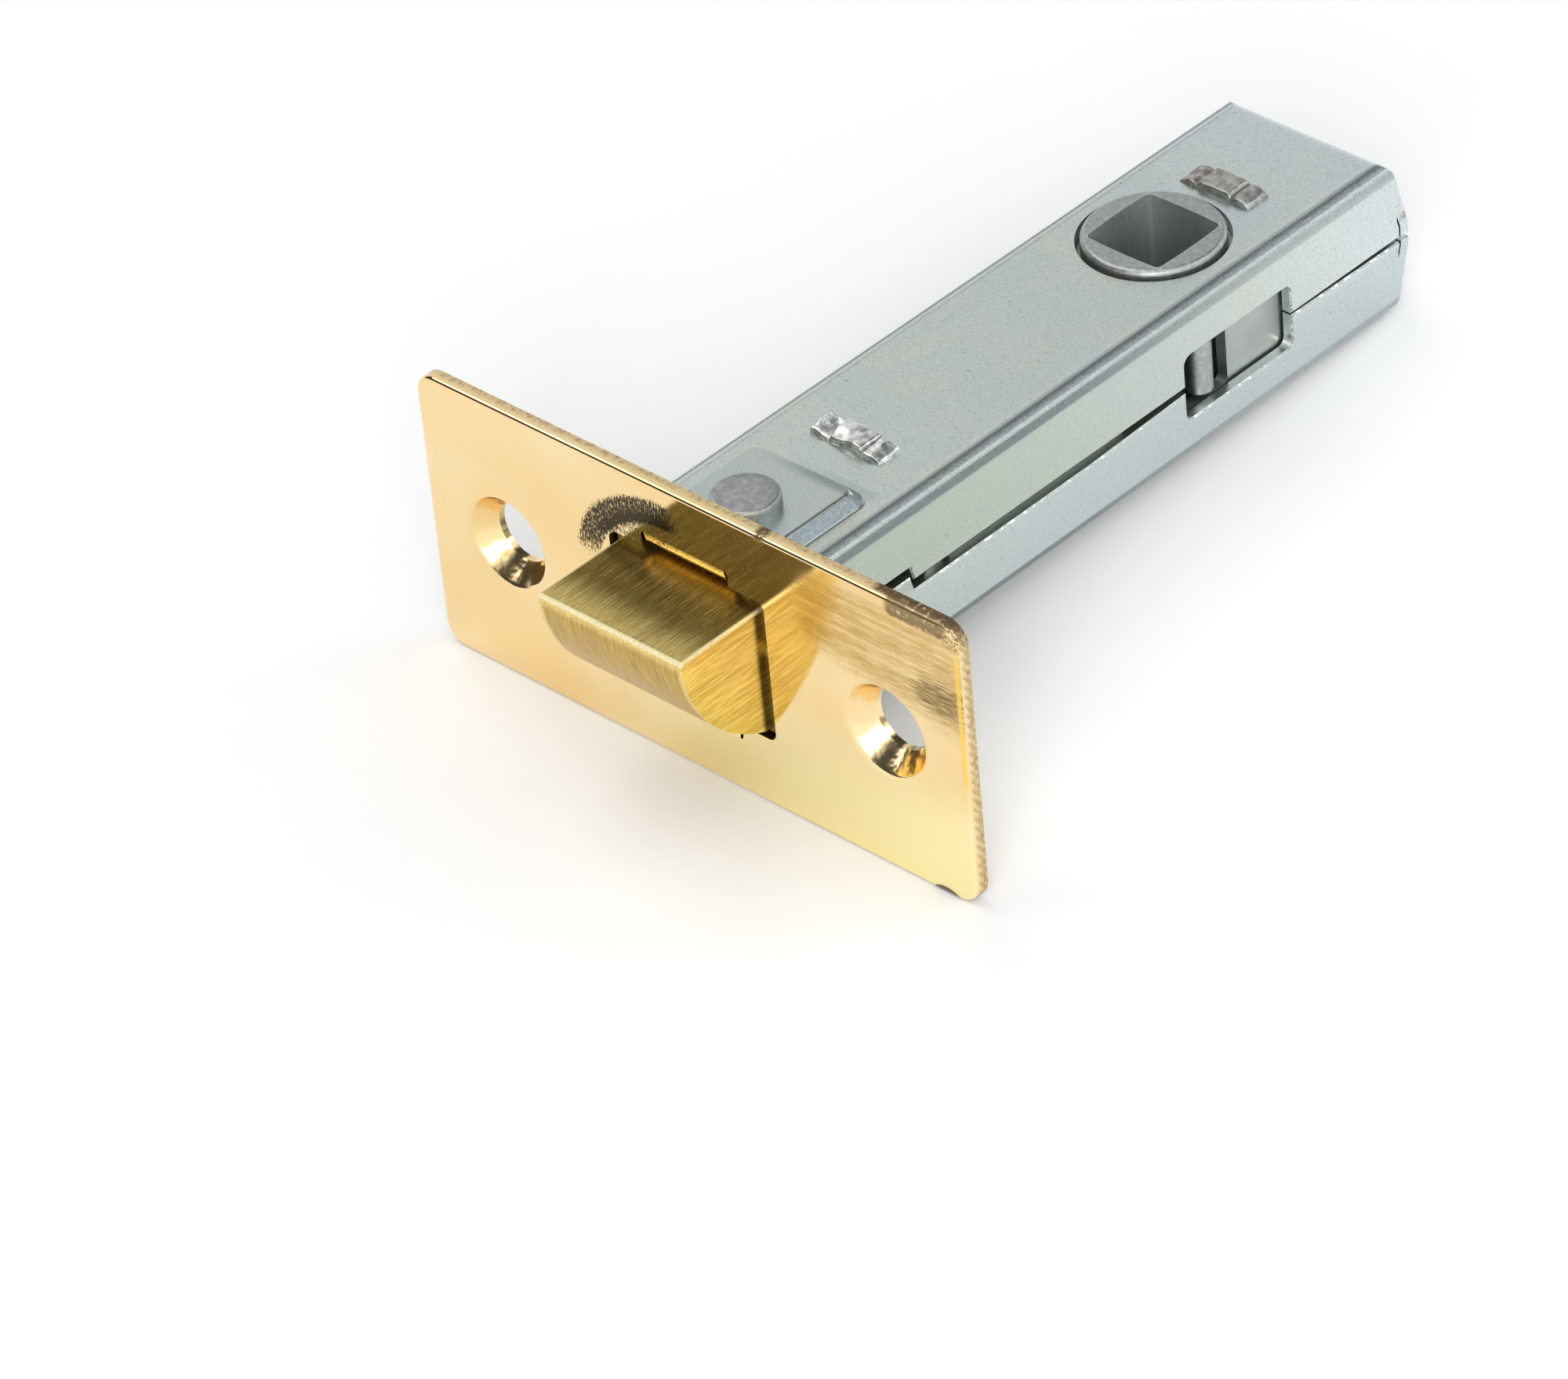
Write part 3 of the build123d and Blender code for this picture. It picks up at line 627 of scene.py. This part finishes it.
def staked_steel():
    """Make the hammered steel of the staked ends, rusty on the rear one's left."""
    finish = Finish("staked_steel")
    dents = finish.grain(0.75, 2.0, 0.55)
    finish.begin((0.51, 0.53, 0.50), (0.85, 0.87, 0.83), dents.step(0.38, 0.60))
    dull = finish.y.step(50.0, 60.0)
    rusty = dull * finish.x.step(-0.8, -2.2)
    finish.lay((0.27, 0.15, 0.09), rusty * dents.step(0.62, 0.42) * 0.75)
    finish.lay((0.25, 0.235, 0.22), dull * 0.62)
    fine = finish.grain(0.16, 2.0, 0.6, 3.0)
    return finish.wear(0.27 + dents * 0.14 + dull * 0.10, dents + fine * 0.3, 0.035)


def rivet_zinc():
    """Make the rivets' duller plate with painted shade on the heads' rear rim."""
    finish = Finish("rivet_zinc")
    mottle = finish.grain(0.7, 3.0, 0.6)
    finish.begin((0.33, 0.34, 0.33), (0.46, 0.485, 0.475), mottle.step(0.35, 0.7))
    behind = finish.y - RIVET_Y
    # Painted shade: each head darker towards its rear rim.
    ring = finish.reach(finish.x, behind).step(RIVET_RADIUS - 1.45, RIVET_RADIUS - 0.2)
    finish.lay((0.24, 0.26, 0.265), ring * behind.step(-1.2, 1.0) * 0.6)
    return finish.wear(0.36 + mottle * 0.14, mottle * 0.6, 0.015)


keep("zinc_casting", zinc_casting())
keep("staked_steel", staked_steel())
keep("zinc_plated_rivet", rivet_zinc())

# %% [markdown]
# ## Dress the nodes
# A node keeps its shape from the frame and only takes a finish, so the record's material slots say
# which finish goes where.

# %% Give each node its finish
for part in frame["record"]["subparts"]:
    piece = frame["nodes"][part["node"]]
    piece.data.materials.clear()
    piece.data.materials.append(finishes[part["material_slot"]])
    print(part["node"], "wears", part["material_slot"])

# %% [markdown]
# ## Copies of nodes
# Two kinds of piece start as a copy of a node from the frame: the struck posts and the spring. The
# frame's meshes are loose triangles, so a copy is merged before it is worked on, and made smooth.

# %% Copy a node


def merged_copy(name):
    """Start a bmesh from a node's mesh with its doubles merged."""
    shape = bmesh.new()
    shape.from_mesh(frame["nodes"][name].data)
    bmesh.ops.remove_doubles(shape, verts=shape.verts, dist=0.001 * MM)
    return shape


def smooth_piece(name, shape, slot):
    """Turn a bmesh into a smooth piece that wears the finish of a slot."""
    mesh = bpy.data.meshes.new(name)
    shape.to_mesh(mesh)
    shape.free()
    piece = bpy.data.objects.new(name, mesh)
    bpy.context.scene.collection.objects.link(piece)
    mesh.materials.append(finishes[slot])
    mesh.shade_smooth()
    return piece


print("posts to hammer:", [name for name in frame["nodes"] if name.endswith("post")])

# %% [markdown]
# ## Hammered ends of the posts
# Two posts tie the half shells together. Their ends stick out of slots and were struck over with a
# punch, which left three lumps on each: a high one in the middle, a step down on its right and a
# groove on its left. A height rule for each post gives the lumps, because their places can be read
# off the real ends one by one.

# %% Say how the punch left each end
STAKE_GROOVE = 1.81


def push_front(x, y):
    """Give the rise in mm at a place on the front post's end, as the punch left it."""
    if x < -STAKE_GROOVE:
        return 0.42 * (-2.1 - x) / 1.7 - 0.10 + 0.16 * y
    if x < STAKE_GROOVE:
        droop = 0.42 * max(0.0, -y - 0.1) * max(0.0, 0.8 - x) / 2.0
        return 0.26 - 0.05 * (x + 1.8) - droop
    return 0.10 - 0.30 * max(0.0, x - 2.6) + 0.10 * y


def push_rear(x, y):
    """Give the rise on the rear post's end, which was struck flatter and rounder."""
    round_off = 0.20 * max(0.0, abs(x) - 2.4) ** 2
    groove = 0.16 * math.exp(-((abs(x) - 1.9) / 0.25) ** 2)
    return 0.02 - round_off - groove + 0.05 * y + (0.10 if x > STAKE_GROOVE else 0.0)


print("middles rise", round(push_front(0, 0), 3), "and", round(push_rear(0, 0), 3), "mm")

# %% [markdown]
# ## Hammer the posts
# Each piece starts as a copy of the post from the frame. Its ends are cut finer and pushed about by
# the height rule and by noise, and the plain part inside the case stays as it is. The noise starts
# from the clock when nothing is said, so a fixed seed gives the same dents in each run.

# %% Push the ends about
STRUCK_SEED = 7
STRUCK_CELL = 0.30
STRUCK_ROUNDS = 5
STRUCK_SHARP = 28
STRUCK_FROM = 0.02
FULL_PUSH = 0.45
noise.seed_set(STRUCK_SEED)


def cut_finer(shape):
    """Cut the long edges of a post's two ends, round after round, into triangles."""
    for _ in range(STRUCK_ROUNDS):
        long_edges = [
            edge
            for edge in shape.edges
            if all(abs(v.co.z) > (CASE_TOP - STRUCK_FROM) * MM for v in edge.verts)
            and edge.calc_length() > STRUCK_CELL * MM
        ]
        bmesh.ops.subdivide_edges(shape, edges=long_edges, cuts=1)
        bmesh.ops.triangulate(shape, faces=shape.faces)


def knock(vert, middle, push, seed):
    """Push one corner of a post's end by the height rule and by noise."""
    height = abs(vert.co.z) / MM - CASE_TOP
    if height < STRUCK_FROM:
        return
    side = 1 if vert.co.z > 0 else -1
    lift = min(1.0, height / FULL_PUSH)
    x, y = vert.co.x / MM, (vert.co.y - middle) / MM
    broad = noise.noise_vector((x * 0.8 + seed, y * 0.9, side * 3.0))
    small = noise.noise_vector((x * 2.6, y * 2.6 + seed, height * 2.0 + side))
    shove = broad * 0.11 + small * 0.025
    vert.co.x += shove.x * lift * MM
    vert.co.y += shove.y * lift * MM
    vert.co.z += side * (push(x, y) + shove.z * 0.7) * lift * MM


def hammered(name, push, seed):
    """Make the post with struck ends and let it stand for the plain one."""
    shape = merged_copy(name)
    cut_finer(shape)
    middle = sum(v.co.y for v in shape.verts) / len(shape.verts)
    for vert in shape.verts:
        knock(vert, middle, push, seed)
    piece = smooth_piece(name + "_struck", shape, "staked_steel")
    piece.data.set_sharp_from_angle(angle=math.radians(STRUCK_SHARP))
    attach(piece, "case")
    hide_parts(name)
    print(name, "has", len(piece.data.polygons), "faces")
    return piece


struck_posts = [hammered("front_post", push_front, 4.0), hammered("rear_post", push_rear, 9.0)]

# %% [markdown]
# ## Coil spring
# The spring stands between the bolt's bore and the washer on the front post, and shortens as the bolt
# goes in. The washer end stays where it is. A smooth copy of the frame's coil stands for it, and the
# share of its length left when the bolt has gone all the way is worked out and printed.

# %% Copy the spring
spring_front, spring_rear = (corner.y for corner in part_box("bolt_spring"))
bolt_travel = next(j["range_m"][1] for j in frame["joints"] if j["name"] == "bolt_slide")
spring_keep = 1 - bolt_travel / (spring_rear - spring_front)


def coil_spring():
    """Make a smooth copy of the coil that stands for the plain one on the case."""
    coil = smooth_piece("bolt_spring_coil", merged_copy("bolt_spring"), "spring_steel")
    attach(coil, "case")
    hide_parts("bolt_spring")
    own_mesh(coil)
    length = (spring_rear - spring_front) / MM
    print("spring", round(length, 1), "mm long, keeps", round(spring_keep, 3))


coil_spring()

# %% [markdown]
# ## Floor
# The latch lies on the forend's lower edge and on whatever reaches lowest near its rear, so the floor
# is a plain sheet through the forend's foot, tilted until it touches the first point behind it. The
# foot lies 1 mm behind the front face, where the plate's rolled edge begins; the forend's box can't
# say so, because it also holds the ears.

# %% Find the floor's slope
REAR_PART = 30.0
FOREND_FOOT_Y = 1.0
forend_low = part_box("forend_plate")[0]
forend_foot = Vector((0, FOREND_FOOT_Y * MM, forend_low.z))
resting = [frame["nodes"]["lower_shell"], *struck_posts]
floor_slope = min(
    math.atan2(vert.co.z - forend_foot.z, vert.co.y - forend_foot.y)
    for piece in resting
    for vert in piece.data.vertices
    if vert.co.y > REAR_PART * MM
)
print("floor slopes by", round(math.degrees(floor_slope), 2), "degrees")

# %% [markdown]
# ## The sheet itself
# The floor is painted a plain pale grey and dull, so that only the latch's soft shadow shows on it.

# %% Lay the floor
FLOOR_HALF = 1.5


def lay_floor():
    """Make the floor sheet and turn it about the forend's foot."""
    sheet = bmesh.new()
    bmesh.ops.create_grid(sheet, x_segments=1, y_segments=1, size=FLOOR_HALF)
    turn = Matrix.Rotation(floor_slope, 3, "X")
    bmesh.ops.rotate(sheet, cent=(0, 0, 0), matrix=turn, verts=sheet.verts)
    bmesh.ops.translate(sheet, vec=forend_foot, verts=sheet.verts)
    mesh = bpy.data.meshes.new("floor")
    sheet.to_mesh(mesh)
    sheet.free()
    floor = bpy.data.objects.new("floor", mesh)
    bpy.context.scene.collection.objects.link(floor)
    paint = bpy.data.materials.new("floor_paint")
    paint.use_nodes = True
    surface = paint.node_tree.nodes["Principled BSDF"]
    surface.inputs["Base Color"].default_value = (0.93, 0.93, 0.93, 1)
    surface.inputs["Roughness"].default_value = 0.9
    mesh.materials.append(paint)
    print("floor is", 2 * FLOOR_HALF, "m wide")


lay_floor()

# %% [markdown]
# ## Camera
# The photograph was taken with a long lens from the front right and above. Its place was worked out
# from the latch's own edges, so the picture's middle needs no shift.

# %% Set the camera
CAMERA_PLACE = Vector((392.76, -363.93, 393.81)) * MM
CAMERA_RIGHT = Vector((0.72853, 0.68043, -0.07913))
CAMERA_DOWN = Vector((0.36362, -0.48203, -0.79714))
CAMERA_AHEAD = Vector((-0.58054, 0.55196, -0.59859))
CAMERA_SENSOR = 36.0
CAMERA_LENS = 190.24


def set_camera():
    """Make the camera from its place and its three directions."""
    lens = bpy.data.cameras.new("camera")
    lens.sensor_width = CAMERA_SENSOR
    lens.lens = CAMERA_LENS
    lens.clip_start = 0.01
    camera = bpy.data.objects.new("camera", lens)
    turn = Matrix((CAMERA_RIGHT, -CAMERA_DOWN, -CAMERA_AHEAD)).transposed()
    camera.matrix_world = Matrix.Translation(CAMERA_PLACE) @ turn.to_4x4()
    bpy.context.scene.collection.objects.link(camera)
    bpy.context.scene.camera = camera


set_camera()
print("camera stands", round(CAMERA_PLACE.length / MM), "mm from the forend's middle")

# %% [markdown]
# ## Surroundings
# Bright metal shows its surroundings more than its own colour, so the surroundings are painted first.
# The case's top mirrors a slightly dimmer wall at the back left, which keeps it grey. Three dim parts
# give the polish its darks: one overhead for the dishes and the bolt, one at the horizon on the right
# for the forend's rolled edges, and one at the front left, which the bolt's top mirrors.

# %% Paint the surroundings
STUDIO_GLOW = 1.22
WALL_GLOW = 0.84
DIM_GLOW = 0.05
DIM_SIDE_SHARE = 0.75
WALL = Vector((-0.58, 0.55, 0.60))
DIM_RIDGE = Vector((-0.10, 0.55, 0.83))
DIM_SIDE = Vector((0.83, 0.55, 0.05))
DIM_FRONT = Vector((-0.58, -0.55, 0.60))


def paint_surroundings():
    """Make a pale world with a soft wall back left and dim parts overhead, right and front left."""
    world = bpy.data.worlds.new("studio")
    world.use_nodes = True
    graph = Graph(world.node_tree)
    look = graph.node("ShaderNodeTexCoord", {}, {}, "Generated")

    def toward(direction, wide, narrow):
        """Rise from 0 at a wide angle off a direction to 1 at a narrow one, in degrees."""
        inputs = {0: look, 1: direction.normalized()}
        near = graph.node("ShaderNodeVectorMath", {"operation": "DOT_PRODUCT"}, inputs, "Value")
        return near.step(math.cos(math.radians(wide)), math.cos(math.radians(narrow)))

    glow = toward(WALL, 55, 25) * (WALL_GLOW - STUDIO_GLOW) + STUDIO_GLOW
    dim = toward(DIM_RIDGE, 27, 19).larger(toward(DIM_FRONT, 52, 30))
    dim = dim.larger(toward(DIM_SIDE, 24, 12) * DIM_SIDE_SHARE)
    glow = glow * (1.0 - dim) + dim * DIM_GLOW
    sky = graph.tree.nodes["Background"]
    graph.tree.links.new(glow.socket, sky.inputs["Strength"])
    sky.inputs["Color"].default_value = (0.98, 0.99, 1.0, 1)
    bpy.context.scene.world = world


paint_surroundings()
print("studio glows", STUDIO_GLOW, "and its wall", WALL_GLOW)

# %% [markdown]
# ## Panels
# Three soft panels light the floor and draw the highlights: a large one high on the left, a small
# one behind on the right and one before the forend. Bright metal needs no stronger light than that.

# %% Hang the panels
LATCH_MIDDLE = Vector((0, 0.03, 0))


def hang_panel(name, direction, distance, size, power):
    """Hang a square light panel that faces the latch from a direction."""
    data = bpy.data.lights.new(name, "AREA")
    data.shape = "SQUARE"
    data.size = size
    data.energy = power
    lamp = bpy.data.objects.new(name, data)
    away = Vector(direction).normalized()
    lamp.location = LATCH_MIDDLE + away * distance
    lamp.rotation_euler = (-away).to_track_quat("-Z", "Y").to_euler()
    bpy.context.scene.collection.objects.link(lamp)
    print(name, "gives", power, "W from", distance, "m")


hang_panel("key_panel", (-0.45, -0.10, 0.88), 1.0, 0.70, 3.2)
hang_panel("right_panel", (0.55, 0.55, 0.62), 0.7, 0.20, 0.22)
hang_panel("front_panel", (0.55, -0.65, 0.52), 0.8, 0.35, 1.9)
bpy.context.scene.view_settings.view_transform = "Standard"

# %% [markdown]
